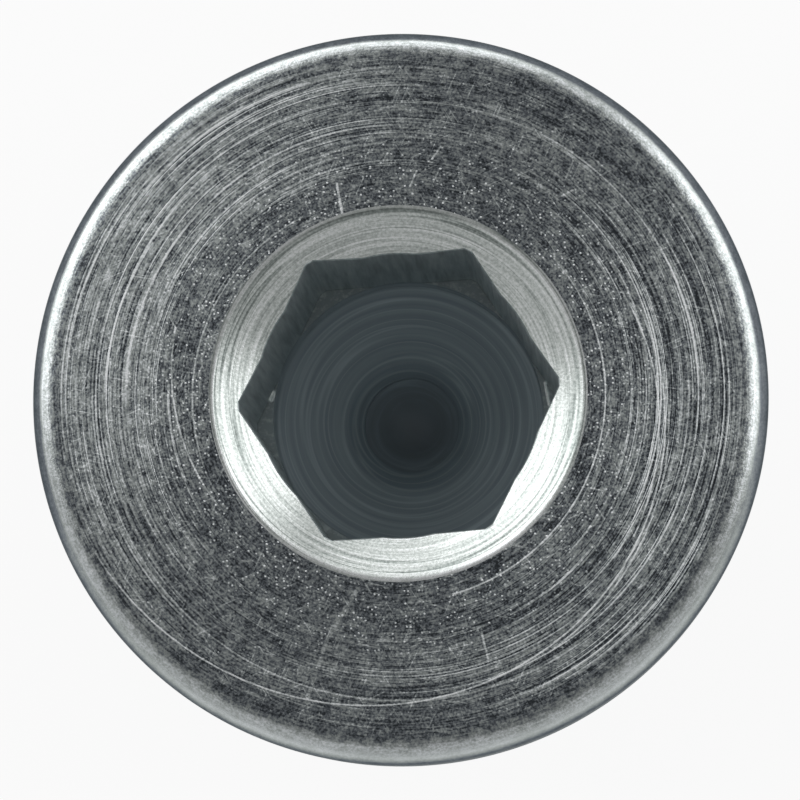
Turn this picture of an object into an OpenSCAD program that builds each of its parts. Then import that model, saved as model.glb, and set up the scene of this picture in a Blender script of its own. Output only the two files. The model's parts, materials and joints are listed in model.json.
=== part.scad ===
// Hexagon-socket screw plug with a collar, turned from one bar of steel.
// It stands on its threaded end, with the socket facing up.
// Millimetres, +Z up. The origin is the centre of the threaded end face.

/* [Collar] */
// Diameter of the collar
collar_d = 32; // [29:0.5:44]
// Height of the collar, from its seat to its outer face
collar_h = 4; // [3:0.1:12]
// Radius that rounds the outer edge of the collar's face
face_edge_r = 1.3; // [0.2:0.1:1.8]
// Chamfer round the edge of the collar's seat
seat_chamfer = 0.4; // [0.1:0.1:1]

/* [Thread] */
// Major diameter of the thread, at which the shank is drawn plain
thread_d = 26.441; // [24:0.001:27.5]
// Pitch of the thread, which sets how deep its root lies
thread_pitch = 1.814; // [1.2:0.001:2.2]
// Angle between the flanks of the thread
thread_angle = 55; // [50:1:60]
// Length of the shank, from its end face to the collar's seat
shank_l = 16; // [12:0.5:30]
// How far below the thread's root the lead chamfer starts
lead_in = 0.35; // [0.1:0.05:1]

/* [Undercut] */
// Width of the undercut between the thread and the collar
undercut_w = 4; // [3.4:0.1:6]
// How far the undercut's floor lies below the thread's root
undercut_clearance = 0.35; // [0.1:0.05:1]
// Angle at which the thread runs down into the undercut
undercut_slope = 45; // [45:1:60]
// Fillet between the undercut's floor and the collar's seat
undercut_fillet_r = 0.8; // [0.2:0.1:1]

/* [Socket] */
// Width of the hexagon across its flats
socket_af = 12.2; // [8:0.1:13]
// Depth of the hexagon, from the collar's face
socket_depth = 9.6; // [6:0.1:12]
// How much of each hexagon corner the broach leaves uncut
socket_corner_trim = 0.1; // [0.05:0.01:0.3]
// Diameter of the countersink at the collar's face
countersink_d = 16.1; // [14.4:0.1:22]
// Angle of the countersink, from wall to wall
countersink_angle = 120; // [90:1:130]

/* [Drilled hole] */
// How much wider the drilled hole is than the hexagon's flats
drill_oversize = 0.2; // [0.1:0.05:0.6]
// Depth of the full drill diameter below the hexagon, for the broach's chips
chip_room = 1.3; // [0.5:0.1:3]
// Point angle of the drill and of the pilot drill
drill_angle = 118; // [90:1:140]
// Diameter of the pilot hole
pilot_d = 4.4; // [2:0.1:8]
// Depth of the step that the pilot hole leaves in the drill's cone
pilot_step = 0.25; // [0.1:0.05:1]

/* [Hidden] */
// How far a cutter reaches past the surface that it opens
cut_over = 1;
$fn = 96;

// The whole plug
plug_h = shank_l + collar_h;
collar_r = collar_d / 2;

// The root of a thread whose triangle loses a sixth of its height at the crest and at the root
thread_r = thread_d / 2;
thread_h = (2 / 3) * thread_pitch / (2 * tan(thread_angle / 2));
root_r = thread_r - thread_h;

// The shank's outline
lead_h = thread_h + lead_in;
undercut_r = root_r - undercut_clearance;
undercut_z = shank_l - undercut_w;
floor_z = undercut_z + (thread_r - undercut_r) / tan(undercut_slope);

// The socket
socket_corner_r = socket_af / sqrt(3) - socket_corner_trim;
countersink_r = countersink_d / 2;
countersink_tan = tan(countersink_angle / 2);

// The drilled hole: where the full diameter, the cone and the pilot hole end
drill_r = (socket_af + drill_oversize) / 2;
drill_tan = tan(drill_angle / 2);
pilot_r = pilot_d / 2;
drill_z = plug_h - socket_depth - chip_room;
cone_z = drill_z - (drill_r - pilot_r) / drill_tan;
pilot_z = cone_z - pilot_step;
point_z = pilot_z - pilot_r / drill_tan;

// What lies outside a quarter circle: taken from a corner, it rounds the corner
module outside_quarter(r) {
    difference() {
        square(r + cut_over);
        circle(r);
    }
}

// What lies between a corner's two sides and a circle that touches both
module inside_quarter(r) {
    difference() {
        square(r);
        translate([r, r]) circle(r);
    }
}

module collar_profile() {
    difference() {
        translate([0, shank_l]) square([collar_r, collar_h]);
        translate([collar_r - face_edge_r, plug_h - face_edge_r]) outside_quarter(face_edge_r);
        translate([collar_r, shank_l]) rotate(45) square(seat_chamfer * sqrt(2), center = true);
    }
}

module shank_profile() {
    polygon([
        [0, 0],
        [thread_r - lead_h, 0],
        [thread_r, lead_h],
        [thread_r, undercut_z],
        [undercut_r, floor_z],
        [undercut_r, shank_l + cut_over],
        [0, shank_l + cut_over]
    ]);
    translate([undercut_r, shank_l]) mirror([0, 1]) inside_quarter(undercut_fillet_r);
}

module turned_blank() {
    rotate_extrude() {
        collar_profile();
        shank_profile();
    }
}

// The broached hexagon, with its corners on the X axis
module hexagon() {
    translate([0, 0, plug_h - socket_depth]) intersection() {
        cylinder(r = socket_af / sqrt(3), h = socket_depth + cut_over, $fn = 6);
        cylinder(r = socket_corner_r, h = socket_depth + cut_over);
    }
}

// The drilled hole and the countersink at its mouth
module drilled_hole() {
    rotate_extrude() polygon([
        [0, plug_h + cut_over],
        [countersink_r + cut_over * countersink_tan, plug_h + cut_over],
        [drill_r, plug_h - (countersink_r - drill_r) / countersink_tan],
        [drill_r, drill_z],
        [pilot_r, cone_z],
        [pilot_r, pilot_z],
        [0, point_z]
    ]);
}

module screw_plug() {
    color("#8b9296") difference() {
        turned_blank();
        hexagon();
        drilled_hole();
    }
}

screw_plug();
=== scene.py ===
import json
import math

import bmesh
import bpy
import numpy as np
from mathutils import Matrix, Vector


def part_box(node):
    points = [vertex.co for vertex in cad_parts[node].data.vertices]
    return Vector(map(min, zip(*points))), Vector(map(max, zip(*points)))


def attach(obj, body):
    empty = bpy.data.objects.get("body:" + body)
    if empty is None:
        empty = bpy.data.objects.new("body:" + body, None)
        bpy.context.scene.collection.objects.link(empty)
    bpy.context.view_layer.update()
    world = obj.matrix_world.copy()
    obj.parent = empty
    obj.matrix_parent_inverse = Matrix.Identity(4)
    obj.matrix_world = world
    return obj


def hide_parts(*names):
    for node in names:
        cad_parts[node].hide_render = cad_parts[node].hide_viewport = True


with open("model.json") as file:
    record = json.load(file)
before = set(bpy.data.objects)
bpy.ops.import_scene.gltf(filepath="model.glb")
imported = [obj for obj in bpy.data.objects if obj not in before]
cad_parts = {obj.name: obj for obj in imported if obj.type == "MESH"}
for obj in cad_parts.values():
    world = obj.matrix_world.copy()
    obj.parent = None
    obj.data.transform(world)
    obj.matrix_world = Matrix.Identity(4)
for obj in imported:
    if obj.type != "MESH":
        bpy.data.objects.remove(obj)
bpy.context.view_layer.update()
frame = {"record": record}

# The screw plug stands on its threaded end at the origin, +Z up, and scene lengths are metres.
# Sizes named below are in millimetres, and MM turns them into metres. Directions round the axis are in
# degrees from +X towards +Y.
MM = 0.001

# Whole plug, from the frame
TOP_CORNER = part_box("screw_plug")[1] / MM
PLUG_H = TOP_CORNER.z
COLLAR_R = TOP_CORNER.x
MOUNTS = {mount["name"]: mount for mount in frame["record"]["mounts"]}
SEAT_Z = MOUNTS["seal_face"]["pos_m"][2] / MM
THREAD_R = MOUNTS["thread"]["dims"]["r_mm"]

# Collar
SEAT_CHAMFER = 0.4
EDGE_R = 1.3
EDGE_START_R = COLLAR_R - EDGE_R

# Thread: right-handed, with 55 degrees between its flanks, so each leans by half of that. Its depth and the
# rounding of its crest and root are shares of the pitch.
PITCH = 1.814
FLANK_ANGLE = 27.5
THREAD_DEPTH = 0.640327 * PITCH
ROUND_R = 0.137329 * PITCH
ROOT_R = THREAD_R - THREAD_DEPTH
LEAD_IN = 0.35
END_R = ROOT_R - LEAD_IN

# Undercut: its wall slopes at 45 degrees, and one row of the mesh divides its floor
UNDERCUT_W = 4.0
UNDERCUT_CLEARANCE = 0.35
UNDERCUT_Z = SEAT_Z - UNDERCUT_W
UNDERCUT_R = ROOT_R - UNDERCUT_CLEARANCE
UNDERCUT_FLOOR_Z = UNDERCUT_Z + THREAD_R - UNDERCUT_R
FILLET_R = 0.8
UNDERCUT_ROW_Z = SEAT_Z - FILLET_R - 0.6

# Socket: MOUTH_BEVEL breaks the edge between the countersink and the wall
FLAT_R = 6.1
CORNER_TRIM = 0.1
CORNER_R = 2 * FLAT_R / math.sqrt(3) - CORNER_TRIM
HEX_FLOOR_Z = PLUG_H - 9.6
MOUTH_BEVEL = 0.05

# Countersink: 120 degrees from wall to wall, so it falls by 30 degrees from the face
SINK_R = 8.05
SINK_EDGE_R = 0.5
SINK_FALL = 30
SINK_SLOPE = math.tan(math.radians(SINK_FALL))

# Drilled hole: a 118 degree point, with a rounded foot to its wall and a broken edge to the pilot hole
DRILL_R = 6.2
CHIP_ROOM = 1.3
DRILL_Z = HEX_FLOOR_Z - CHIP_ROOM
DRILL_FOOT_R = 0.3
POINT_HALF_ANGLE = 59
POINT_TAN = math.tan(math.radians(POINT_HALF_ANGLE))
CONE_ROW_R = 3.2
PILOT_R = 2.2
PILOT_STEP = 0.25
PILOT_EDGE = 0.1

# The mesh: radii of the rows that divide the flat rings, how far from an edge a row holds the flat beside
# it, how many steps go down the countersink and the hexagon, how near two points are to be one, in metres,
# and the angles from which an edge is crisp
END_ROWS = (0, 3, 7)
SEAT_ROWS = (13, 15)
FACE_ROWS = (14.5, 13.2, 11.5, 9.8, 8.6)
EDGE_MARGIN = 0.1
SINK_STEPS = 8
WALL_STEPS = 8
SAME_POINT = 1e-7
CRISP_ANGLE = 32
SOCKET_CRISP_ANGLE = 6

# Score marks on the face that don't run round the axis. Each goes from one direction and radius to the
# next, and has a brightness.
SCORES = (
    (199, 14.86, 394, 10.60, 0.9), (296, 12.94, 364, 11.40, 0.6), (324, 11.90, 391, 10.35, 0.7),
    (318, 11.74, 353, 10.98, 0.5), (281, 9.03, 411, 8.87, 0.8), (114, 8.73, 218, 9.00, 0.5),
    (159, 10.06, 214, 9.02, 0.6), (96, 12.95, 356, 13.42, 0.5), (-4, 13.01, 91, 12.75, 0.5),
    (8, 14.00, 28, 13.95, 0.7), (114, 14.30, 176, 14.50, 0.6), (91, 13.65, 146, 13.85, 0.5),
    (296, 14.27, 346, 14.30, 0.6), (306, 14.67, 361, 14.62, 0.6), (6, 13.40, 56, 13.20, 0.4),
    (144, 12.55, 181, 12.75, 0.6),
)
SCORE_WIDTH = 0.05
SCORE_FADES_FROM = 0.7

# Nicks in the face, from handling: the same, with a width before the brightness
NICKS = (
    (102, 9.50, 103, 8.15, 0.07, 0.8), (204, 15.10, 203.5, 14.70, 0.06, 0.9),
    (76, 10.90, 77.5, 10.30, 0.05, 0.5), (81, 9.70, 82.5, 9.00, 0.05, 0.6),
    (45, 11.60, 46, 11.10, 0.06, 0.5), (249.5, 13.90, 250, 11.00, 0.12, 0.3),
    (250, 11.00, 254, 8.80, 0.12, 0.3), (284.5, 12.10, 285, 11.00, 0.06, 0.5),
)

# Painted glints on the hexagon's floor, in two of its corners, brighter and smoother there: the same as the
# nicks
GLINTS = ((9.5, 6.45, 0.5, 6.47, 0.10, 1.0), (165.6, 6.28, 168.4, 6.35, 0.15, 0.9))

# Fine straight scratches: their directions across the face, and their size
SCRATCH_ANGLES = (15, 62, 118, 160)
SCRATCH_WIDTH = 0.07
SCRATCH_LENGTH = 1.4

# Where the face's finish changes, as radii: the rings and the specks over its inner part, and the marks, the
# painted highlight of the bright rim and the smoother plating where its edge begins to roll over
RINGS_GROW = (8.8, 11.2)
SPECKS_THIN = (9.5, 12.0)
MARKS_FADE = (EDGE_START_R - 0.4, EDGE_START_R + 0.4)
RIM_HIGHLIGHT = (EDGE_START_R + 0.1, EDGE_START_R + 0.6)
EDGE_SMOOTHS = (EDGE_START_R, EDGE_START_R + 0.4)

# Where the rolled edge loses its speckle and where painted shade darkens it, as heights, and the side on
# which the painted shade starts further down
SPECKLE_FADES = (PLUG_H - 0.35, PLUG_H - 0.05)
EDGE_SHADE = (PLUG_H - 0.38, PLUG_H - 0.25)
FRONT_SHADE = (PLUG_H - 0.85, PLUG_H - 0.50)
FRONT = 272

# The side on which the tool's rings stand out most, as a painted sheen, and towards which the face is painted
# lighter
SHEEN_SIDE = 150

# Where the other finishes change, as radii and heights: the countersink's dark rings and its bright lip, the
# hexagon's painted shade at its foot and the painted glints on its floor, and the drilled hole's rings, the
# painted dark reflection at its point and the heights between which painted shade darkens it with depth
SINK_RINGS_GROW = (6.7, 7.9)
LIP_BRIGHTENS = (SINK_R - 0.2, SINK_R - 0.05)
FOOT_SHADE = (HEX_FLOOR_Z, HEX_FLOOR_Z + 0.3)
GLINTS_END = (HEX_FLOOR_Z + 0.1, HEX_FLOOR_Z + 0.4)
DRILL_RINGS_GROW = (1.0, 2.6)
TIP_SHADE = (0.0, 1.6)
DEPTH_SHADE = (PLUG_H - 14.0, PLUG_H - 12.5)

# Size of the plating's grain on the face, in the countersink and elsewhere. Real crystals of zinc are a few
# thousandths of a millimetre, so they are drawn as coarse as they need to show.
FACE_GRAIN = 0.11
SINK_GRAIN = 0.12
PLAIN_GRAIN = 0.15

# Bright specks on the face, real facets of the plating whose sparkle is painted in: the width of the cell
# that each lies in, and its share of the cell. They are drawn coarser than real ones too.
SPECK_SPACING = 0.16
SPECK_SHARE = 0.30

# Width and length of the broach's score marks, drawn wider than the real ones
BROACH_WIDTH = 0.25
BROACH_LENGTH = 4.0

# Marks of the lathe: the radius at which their length is worked out, in the middle of the collar's face, and
# how much a step in height counts beside a step in radius, so that they run round the side as well
FACE_MID_R = 11.5
HEIGHT_SHARE = 0.6

# The studio's soft lights: direction, how near to it a light starts as a dot product, strength, and the
# height where it ends as a share of the way to the zenith. It fades over LIGHT_FADE below that height.
SOFT_LIGHTS = ((21, 0.75, 1.38, 0.93), (139, 0.72, 1.55, 0.93), (88, 0.86, 1.3, 0.62))
LIGHT_FADE = 0.4

# The studio's walls and its darker ceiling: how bright they are, the distance from the ceiling's middle over
# which one turns into the other, and where that middle is, all on a unit circle seen from above
WALL_LIGHT = 0.58
CEILING_LIGHT = 0.30
CEILING_ENDS = (0.56, 0.92)
CEILING_DIRECTION = 330
CEILING_OFFSET = 0.05

# The sheet under the plug: its radius in metres, the gap that keeps it clear of the end face, and how much
# plain white each kind of ray sees in place of its shaded surface
SHEET_R = 1.5
SHEET_GAP = 0.02
SHEET_GLOW = (("Is Camera Ray", 0.90), ("Is Transmission Ray", 0.90), ("Is Glossy Ray", 0.45))

# Camera: the way back to it from the middle of the face, the picture's upward direction, its distance, its
# lens, and in metres how near it sees
CAMERA_BACK = (0.04235, -0.12026, 1)
CAMERA_UP = (0.0720, 0.9974, 0)
CAMERA_DISTANCE = 155.35
LENS = 162.15
SENSOR = 36
SHIFT_X = 0.0029
SHIFT_Y = -0.0095
CLIP_START = 0.01


def compass(azimuth):
    """A level direction as a vector."""
    return (math.cos(math.radians(azimuth)), math.sin(math.radians(azimuth)), 0)


def ring_angles():
    """Angles round the axis, with one at each end of a flat, of a trimmed corner and of a drilled arc. They
    repeat in each sixth of a turn, which starts and ends at a corner."""
    corner = 30 - math.degrees(math.acos(FLAT_R / CORNER_R))
    arc_end = 30 - math.degrees(math.acos(FLAT_R / DRILL_R))
    spans = [(-corner, corner, 2), (corner, arc_end, 14)]
    spans += [(arc_end, 60 - arc_end, 16), (60 - arc_end, 60 - corner, 14)]
    sector = np.concatenate([np.linspace(start, end, steps, endpoint=False) for start, end, steps in spans])
    return np.radians(np.concatenate([60 * k + sector for k in range(6)]))


def socket_radius(angles):
    """Radius of the socket's wall: the hexagon, its trimmed corners and the drilled arcs between them."""
    off_flat = np.degrees(angles) % 60 - 30
    hexagon = FLAT_R / np.cos(np.radians(off_flat))
    return np.maximum(DRILL_R, np.minimum(hexagon, CORNER_R))


def thread_form():
    """One pitch of the thread as (height, radius), from the middle of one flank to the next like it."""
    swing = np.radians(np.linspace(FLANK_ANGLE - 90, 90 - FLANK_ANGLE, 6))
    crest = [(PITCH / 4 + ROUND_R * math.sin(a), THREAD_R - ROUND_R * (1 - math.cos(a))) for a in swing]
    root = [(3 * PITCH / 4 + ROUND_R * math.sin(a), ROOT_R + ROUND_R * (1 - math.cos(a))) for a in swing]
    middle = (THREAD_R + ROOT_R) / 2
    return [(0, middle)] + crest + [(PITCH / 2, middle)] + root


def thread_rows(angles):
    """Rows that climb with the helix, between the end face and the undercut, and how many make one turn."""
    form = thread_form()
    rise = PITCH * (angles - angles[0]) / (2 * math.pi)
    rows = []
    for turn in range(-1, math.ceil(UNDERCUT_FLOOR_Z / PITCH) + 1):
        for height, radius in form:
            z = np.clip(turn * PITCH + height + rise, 0, UNDERCUT_FLOOR_Z)
            lead = END_R + z
            run_out = THREAD_R - (z - UNDERCUT_Z)
            rows.append((np.minimum(radius, np.minimum(lead, run_out)), z))
    return rows, len(form)


def arc(centre_r, centre_z, radius, start, end, steps):
    """Points of a profile's arc, in (radius, height); angles in degrees from +X towards +Z."""
    swing = np.radians(np.linspace(start, end, steps + 1))
    return [(centre_r + radius * math.cos(a), centre_z + radius * math.sin(a)) for a in swing]


def seat_rows():
    """From the undercut's floor, over the fillet and the seat, to the top of the collar's side."""
    fillet = arc(UNDERCUT_R + FILLET_R, SEAT_Z - FILLET_R, FILLET_R, 180, 90, steps=8)
    chamfer_r = COLLAR_R - SEAT_CHAMFER
    chamfer_z = SEAT_Z + SEAT_CHAMFER
    points = [(UNDERCUT_R, UNDERCUT_ROW_Z)] + fillet + [(r, SEAT_Z) for r in SEAT_ROWS]
    points += [(chamfer_r - EDGE_MARGIN, SEAT_Z), (chamfer_r, SEAT_Z), (COLLAR_R, chamfer_z)]
    points += [(COLLAR_R, chamfer_z + EDGE_MARGIN), (COLLAR_R, PLUG_H - EDGE_R - EDGE_MARGIN)]
    return [("turned", point) for point in points]


def face_rows():
    """Over the rolled edge and across the face, to the countersink's rounded edge."""
    rolled = arc(EDGE_START_R, PLUG_H - EDGE_R, EDGE_R, 0, 90, steps=18)
    sink = arc(SINK_R + sink_setback(), PLUG_H - SINK_EDGE_R, SINK_EDGE_R, 90, 90 + SINK_FALL, steps=6)
    points = rolled + [(r, PLUG_H) for r in FACE_ROWS] + sink[:1]
    return [("faced", point) for point in points] + [("countersunk", point) for point in sink[1:]]


def sink_setback():
    """How far from the countersink's sharp edge its rounding starts."""
    return SINK_EDGE_R * math.tan(math.radians(SINK_FALL / 2))


def sink_z(radius):
    """Height of the countersink's slope at a radius."""
    return PLUG_H - (SINK_R - radius) * SINK_SLOPE


def socket_rows(angles):
    """Down the countersink, the hexagon and the drilled hole to its point."""
    wall = socket_radius(angles)
    top = SINK_R - sink_setback() * math.cos(math.radians(SINK_FALL))
    rows = []
    for share in np.linspace(0, 1, SINK_STEPS + 1)[1:]:
        radius = top + (wall + MOUTH_BEVEL - top) * share
        rows.append(("countersunk", (radius, sink_z(radius))))
    mouth = sink_z(wall) - MOUTH_BEVEL
    for share in np.linspace(0, 1, WALL_STEPS + 1):
        rows.append(("broached", (wall, mouth + (HEX_FLOOR_Z - mouth) * share)))
    rows.append(("broached", (DRILL_R, HEX_FLOOR_Z)))
    return rows + [("drilled", point) for point in drilled_profile()]


def drilled_profile():
    """The drilled hole below the hexagon: its wall, its cone and the pilot hole."""
    foot_z = DRILL_Z + DRILL_FOOT_R
    cone_z = DRILL_Z - (DRILL_R - PILOT_R) / POINT_TAN
    pilot_z = cone_z - PILOT_STEP
    tip_z = pilot_z - PILOT_R / POINT_TAN
    points = [(DRILL_R, (HEX_FLOOR_Z + DRILL_Z) / 2), (DRILL_R, foot_z)]
    points += arc(DRILL_R - DRILL_FOOT_R, foot_z, DRILL_FOOT_R, 0, -POINT_HALF_ANGLE, steps=4)
    points += [(CONE_ROW_R, DRILL_Z - (DRILL_R - CONE_ROW_R) / POINT_TAN)]
    points += [(PILOT_R + PILOT_EDGE, cone_z + 0.6 * PILOT_EDGE), (PILOT_R, cone_z - 0.4 * PILOT_EDGE)]
    return points + [(PILOT_R, pilot_z), (PILOT_R / 2, (pilot_z + tip_z) / 2), (0, tip_z)]


def points_of_row(shape, angles, row):
    """Adds one row of points. Its radius and its height are each one number, or one for every angle."""
    r, z = (np.broadcast_to(measure, len(angles)) for measure in row)
    places = zip(r * np.cos(angles), r * np.sin(angles), z)
    return [shape.verts.new((x * MM, y * MM, z * MM)) for x, y, z in places]


def plug_mesh(finishes):
    """The whole plug as one closed mesh, row by row from the middle of its end face to the drill's point."""
    angles = ring_angles()
    columns = len(angles)
    helix, per_turn = thread_rows(angles)
    rows = [("turned", (r, 0)) for r in (*END_ROWS, END_R - EDGE_MARGIN)]
    helix_start = len(rows)
    rows += [("threaded", row) for row in helix]
    helix_end = len(rows) - 1
    rows += seat_rows() + face_rows() + socket_rows(angles)
    shape = bmesh.new()
    grid = [points_of_row(shape, angles, row) for _, row in rows]

    def corner(j, i):
        """A point by row and column. Past the last column, a row of the helix has climbed by one turn."""
        if i < columns:
            return grid[j][i]
        return grid[min(j + per_turn, helix_end) if helix_start <= j <= helix_end else j][0]

    for j in range(len(rows) - 1):
        for i in range(columns):
            ends = [corner(j, i), corner(j, i + 1), corner(j + 1, i + 1), corner(j + 1, i)]
            apart = list(dict.fromkeys(ends))
            if len(apart) > 2:
                face = shape.faces.new(apart)
                face.material_index = finishes.index(rows[j + 1][0])
                face.smooth = True
    return finished_mesh(shape)


def finished_mesh(shape):
    """Merges the points that meet, drops the faces that close up, and marks the crisp edges."""
    bmesh.ops.remove_doubles(shape, verts=shape.verts, dist=SAME_POINT)
    bmesh.ops.dissolve_degenerate(shape, dist=SAME_POINT, edges=shape.edges)
    sharpen(shape)
    mesh = bpy.data.meshes.new("screw_plug_finished")
    shape.to_mesh(mesh)
    shape.free()
    return mesh


def sharpen(shape):
    """Marks the crisp edges. Those between a flat and a drilled arc are shallow, so the socket's wall has its
    own limit."""
    for edge in shape.edges:
        if len(edge.link_faces) == 2:
            middle = (edge.verts[0].co + edge.verts[1].co) / 2 / MM
            in_wall = math.hypot(middle.x, middle.y) < CORNER_R + MOUTH_BEVEL / 2 and middle.z > HEX_FLOOR_Z
            limit = SOCKET_CRISP_ANGLE if in_wall else CRISP_ANGLE
            edge.smooth = edge.calc_face_angle(0) < math.radians(limit)


def linear(code):
    """An sRGB hex colour as the linear colour that a shader takes."""
    parts = [int(code[k:k + 2], 16) / 255 for k in (1, 3, 5)]
    return [p / 12.92 if p <= 0.04045 else ((p + 0.055) / 1.055) ** 2.4 for p in parts] + [1]


def add(tree, kind, inputs=(), out=0, **settings):
    """Adds a node, sets it and fills its inputs, by name or in their order. A socket is linked, and anything
    else is a value. A MapRange takes its value, then the ends of the range it has and of the one it gets."""
    made = tree.nodes.new("ShaderNode" + kind)
    for name, value in settings.items():
        setattr(made, name, value)
    for name, value in (inputs.items() if isinstance(inputs, dict) else enumerate(inputs)):
        if isinstance(value, bpy.types.NodeSocket):
            tree.links.new(value, made.inputs[name])
        else:
            made.inputs[name].default_value = value
    return made.outputs[out] if made.outputs else None


def new_finish(name):
    """A material with nothing in it yet, and its tree of nodes."""
    finish = bpy.data.materials.new(name)
    finish.use_nodes = True
    finish.node_tree.nodes.clear()
    return finish, finish.node_tree


def place_in_mm(tree):
    """Where a point of the plug lies, from the plug's origin."""
    place = add(tree, "TexCoord", out="Object")
    return add(tree, "VectorMath", {0: place, "Scale": 1 / MM}, operation="SCALE")


def across_axis(tree, place):
    """The place seen along the axis, and its distance from the axis."""
    flat = add(tree, "VectorMath", [place, (1, 1, 0)], operation="MULTIPLY")
    return flat, add(tree, "VectorMath", [flat], out="Value", operation="LENGTH")


def turning_grain(tree, place, line, length):
    """Where a point lies in the marks of the lathe: line is a mark's width, length how far round it runs."""
    flat, radius = across_axis(tree, place)
    height = add(tree, "SeparateXYZ", [place], out="Z")
    along = add(tree, "Math", [height, HEIGHT_SHARE, radius], operation="MULTIPLY_ADD")
    rise = add(tree, "CombineXYZ", [0, 0, add(tree, "Math", [along, line], operation="DIVIDE")])
    heading = add(tree, "VectorMath", [flat], operation="NORMALIZE")
    return add(tree, "VectorMath", [heading, (FACE_MID_R / length,) * 3, rise], operation="MULTIPLY_ADD")


def crisp(tree, where, low, high, detail=3.0, size=1.0):
    """A noise pattern of a size. Its values from low to high are spread over the whole range, so that it has
    clear lights and darks."""
    noise = add(tree, "TexNoise", {"Vector": where, "Scale": 1 / size, "Detail": detail, "Roughness": 0.6})
    return add(tree, "MapRange", [noise, low, high])


def thin_lines(tree, where, width):
    """Thin lines, where a noise pattern crosses its middle value."""
    noise = add(tree, "TexNoise", {"Vector": where, "Scale": 1.0, "Detail": 1.0})
    past_middle = add(tree, "Math", [noise, 0.5], operation="SUBTRACT")
    off = add(tree, "Math", [past_middle], operation="ABSOLUTE")
    return add(tree, "MapRange", [off, 0.0, width, 1.0, 0.0])


def dots(tree, place, spacing, share):
    """Small bright dots: one in each cell of the spacing, a share of it wide, with its own brightness."""
    cells = {"Vector": place, "Scale": 1 / spacing}
    distance = add(tree, "TexVoronoi", cells, out="Distance", voronoi_dimensions="2D")
    chance = add(tree, "SeparateColor", [distance.node.outputs["Color"]], out="Red")
    few_bright = add(tree, "Math", [chance, 5.0], operation="POWER")
    dot = add(tree, "MapRange", [distance, share / 2, share, 1.0, 0.0])
    return add(tree, "Math", [dot, few_bright], operation="MULTIPLY")


def straight_scratches(tree, place, angle):
    """Sparse fine scratches that run at one angle across the face."""
    angled = {"Vector": place, "Angle": math.radians(angle)}
    turned = add(tree, "VectorRotate", angled, rotation_type="Z_AXIS")
    stretch = (1 / SCRATCH_LENGTH, 1 / SCRATCH_WIDTH, 0)
    where = add(tree, "VectorMath", [turned, stretch], operation="MULTIPLY")
    return crisp(tree, where, 0.72, 0.80, detail=0.0)


def brightest(tree, patterns):
    """The brightest of several patterns, point by point."""
    most = 0.0
    for pattern in patterns:
        most = add(tree, "Math", [pattern, most], operation="MAXIMUM")
    return most


def weigh(tree, parts, middle=0.5):
    """Adds up patterns, each with its weight, round a middle value."""
    total = middle
    for pattern, weight in parts:
        off = add(tree, "Math", [pattern, 0.5], operation="SUBTRACT")
        total = add(tree, "Math", [off, weight, total], operation="MULTIPLY_ADD")
    return total


def score(tree, heading, radius, mark):
    """A thin arc whose radius changes evenly from its start to its end, where it fades."""
    start, start_r, end, end_r, bright = mark
    turned = add(tree, "Math", [heading, -start], operation="ADD")
    past_start = add(tree, "Math", [turned, 360.0], operation="FLOORED_MODULO")
    share = add(tree, "Math", [past_start, 1 / (end - start)], operation="MULTIPLY")
    path = add(tree, "Math", [share, end_r - start_r, start_r], operation="MULTIPLY_ADD")
    off = add(tree, "Math", [add(tree, "Math", [radius, path], operation="SUBTRACT")], operation="ABSOLUTE")
    line = add(tree, "MapRange", [off, SCORE_WIDTH / 4, SCORE_WIDTH, bright, 0.0])
    fade = add(tree, "MapRange", [share, SCORE_FADES_FROM, 1.0, 1.0, 0.0])
    return add(tree, "Math", [line, fade], operation="MULTIPLY")


def nick(tree, flat, mark):
    """A short straight mark between two places, seen along the axis."""
    start, start_r, end, end_r, width, bright = mark
    first = Vector(compass(start)) * start_r
    along = Vector(compass(end)) * end_r - first
    from_first = add(tree, "VectorMath", [flat, first], operation="SUBTRACT")
    reach = add(tree, "VectorMath", [from_first, along], out="Value", operation="DOT_PRODUCT")
    share = add(tree, "MapRange", [reach, 0.0, along.length_squared])
    nearest = add(tree, "VectorMath", {0: along, "Scale": share}, operation="SCALE")
    off = add(tree, "VectorMath", [from_first, nearest], out="Value", operation="DISTANCE")
    return add(tree, "MapRange", [off, width / 3, width, bright, 0.0])


def handling_marks(tree, place):
    """The score marks and nicks that the face has picked up."""
    flat, radius = across_axis(tree, place)
    x, y = (add(tree, "SeparateXYZ", [flat], out=axis) for axis in "XY")
    turned = add(tree, "Math", [y, x], operation="ARCTAN2")
    heading = add(tree, "Math", [turned, 180 / math.pi], operation="MULTIPLY")
    scores = [score(tree, heading, radius, mark) for mark in SCORES]
    return brightest(tree, scores + [nick(tree, flat, mark) for mark in NICKS])


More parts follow.
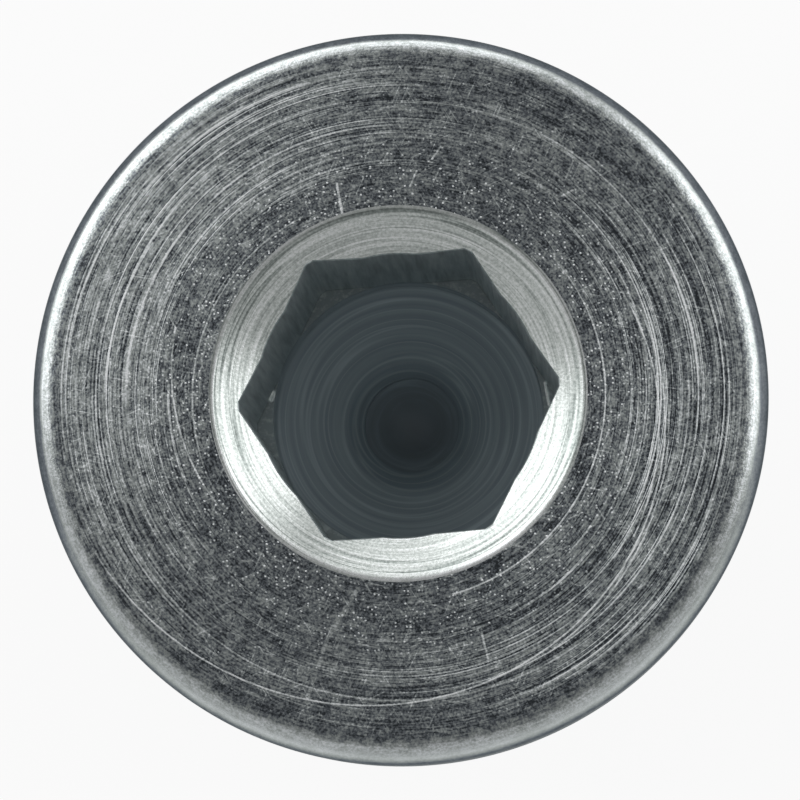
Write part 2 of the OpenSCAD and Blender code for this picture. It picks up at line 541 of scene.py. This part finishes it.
def facing_rings(tree, place):
    """What the facing tool left: thin rings and streaks, about as far apart as its feed. They stand out on
    two opposite sides as a painted sheen and fade towards the countersink, and the face is painted lighter
    towards one side."""
    flat, radius = across_axis(tree, place)
    heading = add(tree, "VectorMath", [flat], operation="NORMALIZE")
    toward_sheen = add(tree, "VectorMath", [heading, compass(SHEEN_SIDE)], out="Value", operation="DOT_PRODUCT")
    either_side = add(tree, "Math", [toward_sheen], operation="ABSOLUTE")
    # Painted sheen: the rings are made stronger on two opposite sides, where the lathe's marks would shine
    sheen_on_two_sides = add(tree, "MapRange", [either_side, 0.2, 0.9, 0.35])
    outwards = add(tree, "MapRange", [radius, *RINGS_GROW, 0.25])
    strength = add(tree, "Math", [outwards, sheen_on_two_sides], operation="MULTIPLY")
    lines = crisp(tree, turning_grain(tree, place, line=0.065, length=30.0), 0.55, 0.66, detail=1.0)
    bands = crisp(tree, turning_grain(tree, place, line=0.5, length=7.0), 0.40, 0.58)
    streaks = crisp(tree, turning_grain(tree, place, line=0.062, length=9.0), 0.31, 0.63, detail=2.0)
    banded = add(tree, "Math", [lines, bands], operation="MULTIPLY")
    rings = add(tree, "Math", [banded, 0.72, weigh(tree, [(streaks, 0.50)], 0.0)], operation="MULTIPLY_ADD")
    rings = add(tree, "Math", [rings, strength], operation="MULTIPLY")
    # Painted sheen: the face is made lighter towards one side
    painted_sheen = add(tree, "MapRange", [toward_sheen, 0.3, 1.0, 0.0, 0.13])
    return add(tree, "Math", [painted_sheen, outwards, rings], operation="MULTIPLY_ADD")


def face_marks(tree, place):
    """All the marks on the face. They fade where its edge rolls over."""
    _, radius = across_axis(tree, place)
    scratches = brightest(tree, [straight_scratches(tree, place, angle) for angle in SCRATCH_ANGLES])
    # Painted sparkle: bright specks in the face's colour, with relief from the same tone
    specks = dots(tree, place, SPECK_SPACING, SPECK_SHARE)
    speck_strength = add(tree, "MapRange", [radius, *SPECKS_THIN, 0.95, 0.35])
    marks = facing_rings(tree, place)
    handled = handling_marks(tree, place)
    for pattern, strength in ((scratches, 0.24), (specks, speck_strength), (handled, 0.75)):
        marks = add(tree, "Math", [pattern, strength, marks], operation="MULTIPLY_ADD")
    on_face = add(tree, "MapRange", [radius, *MARKS_FADE, 1.0, 0.15], interpolation_type="SMOOTHSTEP")
    return add(tree, "Math", [marks, on_face], operation="MULTIPLY")


def face_ground(tree, place):
    """What lies between the marks: grain, short dashes, mottling and soft clouds, fainter on the rolled
    edge."""
    height = add(tree, "SeparateXYZ", [place], out="Z")
    grain = crisp(tree, place, 0.38, 0.62, size=FACE_GRAIN)
    dashes = crisp(tree, turning_grain(tree, place, line=0.09, length=0.6), 0.38, 0.62)
    mottle = crisp(tree, place, 0.38, 0.62, detail=4.0, size=0.45)
    clouds = crisp(tree, turning_grain(tree, place, line=1.2, length=4.0), 0.3, 0.7)
    ground = weigh(tree, [(grain, 0.31), (dashes, 0.22), (mottle, 0.20), (clouds, 0.15)], 0.0)
    speckle = add(tree, "MapRange", [height, *SPECKLE_FADES, 0.25, 1.0])
    return add(tree, "Math", [ground, speckle], operation="MULTIPLY")


def edge_painted_light(tree, place):
    """The rolled edge: a painted highlight as a bright rim where it starts, and below it painted shade, a
    dark reflection painted in. At the front the painted shade starts further down."""
    flat, radius = across_axis(tree, place)
    height = add(tree, "SeparateXYZ", [place], out="Z")
    heading = add(tree, "VectorMath", [flat], operation="NORMALIZE")
    toward_front = add(tree, "VectorMath", [heading, compass(FRONT)], out="Value", operation="DOT_PRODUCT")
    elsewhere = add(tree, "MapRange", [toward_front, 0.1, 0.8, 1.0, 0.0])
    # Painted shade on the lower part of the rolled edge, by height, and starting lower at the front
    painted_shade_front = add(tree, "MapRange", [height, *FRONT_SHADE, -0.36, 0.0])
    painted_shade = add(tree, "MapRange", [height, *EDGE_SHADE, -0.46, 0.0])
    shade_by_side = add(tree, "Mix", {"Factor": elsewhere, "A": painted_shade_front, "B": painted_shade})
    # Painted highlight: the rim is made brighter where the edge begins to roll over
    rim_highlight = add(tree, "MapRange", [radius, *RIM_HIGHLIGHT, 0.0, 0.40], interpolation_type="SMOOTHSTEP")
    return add(tree, "Math", [shade_by_side, rim_highlight], operation="ADD")


def zinc(tree, tone, colours, roughness, relief, depth, stretch=0.0, glancing="#a8acae"):
    """Bright zinc plating over steel: a metal whose tone and relief follow the patterns given. It is duller
    where it is seen at a glancing angle, which draws the dark line round the plug. Where marks run round the
    axis, stretch draws the highlights out across them."""
    ramp = add(tree, "ValToRGB", [tone])
    steps = ramp.node.color_ramp.elements
    steps[0].color = linear(colours[0])
    steps[1].color = linear(colours[-1])
    for k, code in enumerate(colours[1:-1], 1):
        steps.new(k / (len(colours) - 1)).color = linear(code)
    bump = add(tree, "Bump", {"Height": relief, "Strength": 1.0, "Distance": depth * MM})
    inputs = {"Base Color": ramp, "Roughness": roughness, "Metallic": 1.0, "Normal": bump}
    inputs["Specular Tint"] = linear(glancing)
    if stretch:
        inputs["Anisotropic"] = stretch
        inputs["Anisotropic Rotation"] = 0.25
        inputs["Tangent"] = add(tree, "Tangent", direction_type="RADIAL", axis="Z")
    add(tree, "OutputMaterial", {"Surface": add(tree, "BsdfPrincipled", inputs)})


def faced_zinc():
    """Steel faced on a lathe and zinc plated: thin rings and dashes, and specks with painted sparkle, over a
    dark mirror-like ground, and a smoother edge that mirrors the room, with a painted highlight and painted
    shade."""
    finish, tree = new_finish("faced_zinc")
    place = place_in_mm(tree)
    _, radius = across_axis(tree, place)
    tone = add(tree, "Math", [face_marks(tree, place), 0.22], operation="ADD")
    tone = add(tree, "Math", [tone, face_ground(tree, place)], operation="ADD")
    # The rolled edge's painted highlight and painted shade
    tone = add(tree, "Math", [tone, edge_painted_light(tree, place)], operation="ADD")
    scored = add(tree, "MapRange", [tone, 0.0, 1.0, 0.22, 0.56])
    smooth = add(tree, "MapRange", [radius, *EDGE_SMOOTHS])
    rough = add(tree, "Mix", {"Factor": smooth, "A": scored, "B": 0.22})
    colours = ("#3f4448", "#7b8187", "#adb3b1", "#d4d9db", "#f6f8f9")
    zinc(tree, tone, colours, rough, relief=tone, depth=0.012, stretch=0.65)
    return finish


def countersunk_zinc():
    """A countersink cut with one sweep of the tool, zinc plated: satin and pale, brushed round the axis,
    with a few thin dark rings near its edge and a brighter lip."""
    finish, tree = new_finish("countersunk_zinc")
    place = place_in_mm(tree)
    _, radius = across_axis(tree, place)
    grain = crisp(tree, place, 0.36, 0.64, size=SINK_GRAIN)
    brush = crisp(tree, turning_grain(tree, place, line=0.11, length=8.0), 0.34, 0.66)
    arcs = crisp(tree, turning_grain(tree, place, line=0.28, length=14.0), 0.34, 0.66)
    tone = weigh(tree, [(grain, 0.26), (brush, 0.26), (arcs, 0.30)], 0.67)
    rings = thin_lines(tree, turning_grain(tree, place, line=0.35, length=30.0), width=0.06)
    near_edge = add(tree, "MapRange", [radius, *SINK_RINGS_GROW, 0.3])
    dark_rings = add(tree, "Math", [rings, near_edge], operation="MULTIPLY")
    tone = add(tree, "Math", [dark_rings, -0.42, tone], operation="MULTIPLY_ADD")
    lip = add(tree, "MapRange", [radius, *LIP_BRIGHTENS, 0.0, 0.15])
    tone = add(tree, "Math", [lip, tone], operation="ADD")
    colours = ("#575d5b", "#99a19e", "#cdd3d0", "#f4f7f8")
    zinc(tree, tone, colours, 0.26, relief=tone, depth=0.008, stretch=0.4)
    return finish


def turned_zinc():
    """Turned steel, zinc plated: the side, the seat, the undercut and the end face are an even grey, with
    fine rings."""
    finish, tree = new_finish("turned_zinc")
    place = place_in_mm(tree)
    lines = crisp(tree, turning_grain(tree, place, line=0.12, length=9.0), 0.3, 0.7)
    grain = crisp(tree, place, 0.34, 0.66, size=PLAIN_GRAIN)
    tone = weigh(tree, [(lines, 0.5), (grain, 0.35)])
    rough = add(tree, "MapRange", [tone, 0.0, 1.0, 0.26, 0.40])
    zinc(tree, tone, ("#5f676b", "#838b8f", "#abb2b6"), rough, relief=tone, depth=0.006, stretch=0.5)
    return finish


def threaded_zinc():
    """A cut thread, zinc plated: darker and rougher in the roots, and brighter and smoother on the crests."""
    finish, tree = new_finish("threaded_zinc")
    place = place_in_mm(tree)
    _, radius = across_axis(tree, place)
    lines = crisp(tree, turning_grain(tree, place, line=0.1, length=7.0), 0.3, 0.7)
    grain = crisp(tree, place, 0.34, 0.66, size=PLAIN_GRAIN)
    crest = add(tree, "MapRange", [radius, ROOT_R, THREAD_R, 0.2, 0.8])
    tone = weigh(tree, [(lines, 0.3), (grain, 0.35), (crest, 0.7)])
    rough = add(tree, "MapRange", [tone, 0.0, 1.0, 0.42, 0.30])
    relief = weigh(tree, [(lines, 1.0), (grain, 0.5)])
    zinc(tree, tone, ("#565e62", "#868e92", "#bcc3c6"), rough, relief, depth=0.005)
    return finish


def broached_zinc():
    """Broached flats, thinly plated because the bath hardly reaches them: soft pale score marks that run
    down the socket, painted shade at its foot, and two painted glints on the floor, smoother there."""
    finish, tree = new_finish("broached_zinc")
    place = place_in_mm(tree)
    flat, _ = across_axis(tree, place)
    height = add(tree, "SeparateXYZ", [place], out="Z")
    stretch = (1 / BROACH_WIDTH, 1 / BROACH_WIDTH, 1 / BROACH_LENGTH)
    marks = crisp(tree, add(tree, "VectorMath", [place, stretch], operation="MULTIPLY"), 0.3, 0.7)
    # Painted shade at the foot of the socket's wall and on its floor
    painted_foot_shade = add(tree, "MapRange", [height, *FOOT_SHADE, -0.5, 0.0])
    tone = weigh(tree, [(marks, 0.5)], add(tree, "Math", [painted_foot_shade, 0.5], operation="ADD"))
    # Painted glints: two spots on the floor get a brighter colour and lower roughness
    on_floor = add(tree, "MapRange", [height, *GLINTS_END, 1.0, 0.0])
    painted_glints = brightest(tree, [nick(tree, flat, mark) for mark in GLINTS])
    painted_glints = add(tree, "Math", [painted_glints, on_floor], operation="MULTIPLY")
    tone = add(tree, "Math", [tone, painted_glints], operation="ADD")
    rough = add(tree, "Mix", {"Factor": painted_glints, "A": 0.5, "B": 0.1})
    zinc(tree, tone, ("#878f91", "#bcc5c6", "#e2e8e6"), rough, relief=tone, depth=0.006, glancing="#ffffff")
    return finish


def drilled_zinc():
    """Drilled steel, thinly plated: rough, with soft rings from the drill's lips, and painted shade that
    darkens it the deeper it lies, with a painted dark reflection at its point."""
    finish, tree = new_finish("drilled_zinc")
    place = place_in_mm(tree)
    _, radius = across_axis(tree, place)
    height = add(tree, "SeparateXYZ", [place], out="Z")
    # Painted shade: the hole is made darker the deeper it lies
    shade_with_depth = add(tree, "MapRange", [height, *DEPTH_SHADE, 0.34, 0.72])
    # Painted dark reflection at the drill's point
    tip_shade = add(tree, "MapRange", [radius, *TIP_SHADE, -0.1, 0.0])
    shaded_base = add(tree, "Math", [shade_with_depth, tip_shade], operation="ADD")
    wide_rings = crisp(tree, turning_grain(tree, place, line=0.35, length=30.0), 0.3, 0.7)
    rings = thin_lines(tree, turning_grain(tree, place, line=0.6, length=60.0), width=0.05)
    bands = weigh(tree, [(wide_rings, 0.20), (rings, 0.17)], 0.0)
    ringed = add(tree, "MapRange", [radius, *DRILL_RINGS_GROW])
    tone = add(tree, "Math", [bands, ringed, shaded_base], operation="MULTIPLY_ADD")
    zinc(tree, tone, ("#605e64", "#98a3a9", "#ccd4d8"), 0.74, relief=tone, depth=0.006, glancing="#ffffff")
    return finish


def make_plug():
    """The plug with its finishes, in place of its plain solid."""
    finishes = {"faced": faced_zinc(), "countersunk": countersunk_zinc(), "turned": turned_zinc(),
                "threaded": threaded_zinc(), "broached": broached_zinc(), "drilled": drilled_zinc()}
    plug = bpy.data.objects.new("screw_plug_finished", plug_mesh(list(finishes)))
    bpy.context.scene.collection.objects.link(plug)
    for finish in finishes.values():
        plug.data.materials.append(finish)
    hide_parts("screw_plug")
    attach(plug, "root")


def make_floor():
    """A white sheet under the plug. It keeps a soft shadow, and metal mirrors it less white than it looks."""
    under = (0, 0, -SHEET_GAP * MM)
    bpy.ops.mesh.primitive_circle_add(vertices=64, radius=SHEET_R, fill_type="NGON", location=under)
    floor = bpy.context.object
    floor.name = "floor"
    finish, tree = new_finish("white_sheet")
    shares = []
    for ray, share in SHEET_GLOW:
        seen = add(tree, "LightPath", out=ray)
        shares.append(add(tree, "Math", [seen, share], operation="MULTIPLY"))
    sheet = add(tree, "BsdfDiffuse", {"Color": linear("#fafafa")})
    glow = add(tree, "Emission", {"Color": linear("#ffffff"), "Strength": 1.0})
    add(tree, "OutputMaterial", {"Surface": add(tree, "MixShader", [brightest(tree, shares), sheet, glow])})
    floor.data.materials.append(finish)


def light_studio():
    """A grey room with a darker ceiling. One soft light is on the right, one behind on the left, and a lower
    and narrower one between them."""
    world = bpy.data.worlds.new("studio")
    bpy.context.scene.world = world
    world.use_nodes = True
    tree = world.node_tree
    tree.nodes.clear()
    direction = add(tree, "TexCoord", out="Generated")
    flat = add(tree, "VectorMath", [direction, (1, 1, 0)], operation="MULTIPLY")
    heading = add(tree, "VectorMath", [flat], operation="NORMALIZE")
    height = add(tree, "SeparateXYZ", [direction], out="Z")
    middle = Vector(compass(CEILING_DIRECTION)) * CEILING_OFFSET
    reach = add(tree, "VectorMath", [flat, middle], out="Value", operation="DISTANCE")
    beyond = add(tree, "MapRange", [reach, *CEILING_ENDS], interpolation_type="SMOOTHSTEP")
    strength = add(tree, "Mix", {"Factor": beyond, "A": CEILING_LIGHT, "B": WALL_LIGHT})
    for azimuth, edge, light, top in SOFT_LIGHTS:
        toward = add(tree, "VectorMath", [heading, compass(azimuth)], out="Value", operation="DOT_PRODUCT")
        sides = add(tree, "MapRange", [toward, edge, 1.0], interpolation_type="SMOOTHSTEP")
        fade = [height, top - LIGHT_FADE, top, light, 0.0]
        below = add(tree, "MapRange", fade, interpolation_type="SMOOTHSTEP")
        strength = add(tree, "Math", [sides, below, strength], operation="MULTIPLY_ADD")
    sky = add(tree, "Background", {"Color": linear("#ffffff"), "Strength": strength})
    add(tree, "OutputWorld", {"Surface": sky})


def make_camera():
    """Looks down on the collar's face from a little to one side."""
    view = bpy.data.cameras.new("camera")
    view.lens = LENS
    view.sensor_width = SENSOR
    view.shift_x = SHIFT_X
    view.shift_y = SHIFT_Y
    view.clip_start = CLIP_START
    camera = bpy.data.objects.new("camera", view)
    bpy.context.scene.collection.objects.link(camera)
    back = Vector(CAMERA_BACK).normalized()
    right = Vector(CAMERA_UP).cross(back).normalized()
    turn = Matrix((right, back.cross(right), back)).transposed()
    face_middle = Vector((0, 0, PLUG_H * MM))
    camera.matrix_world = Matrix.Translation(face_middle + back * CAMERA_DISTANCE * MM) @ turn.to_4x4()
    bpy.context.scene.camera = camera


bpy.context.scene.view_settings.view_transform = "Standard"
make_camera()
make_floor()
light_studio()
make_plug()
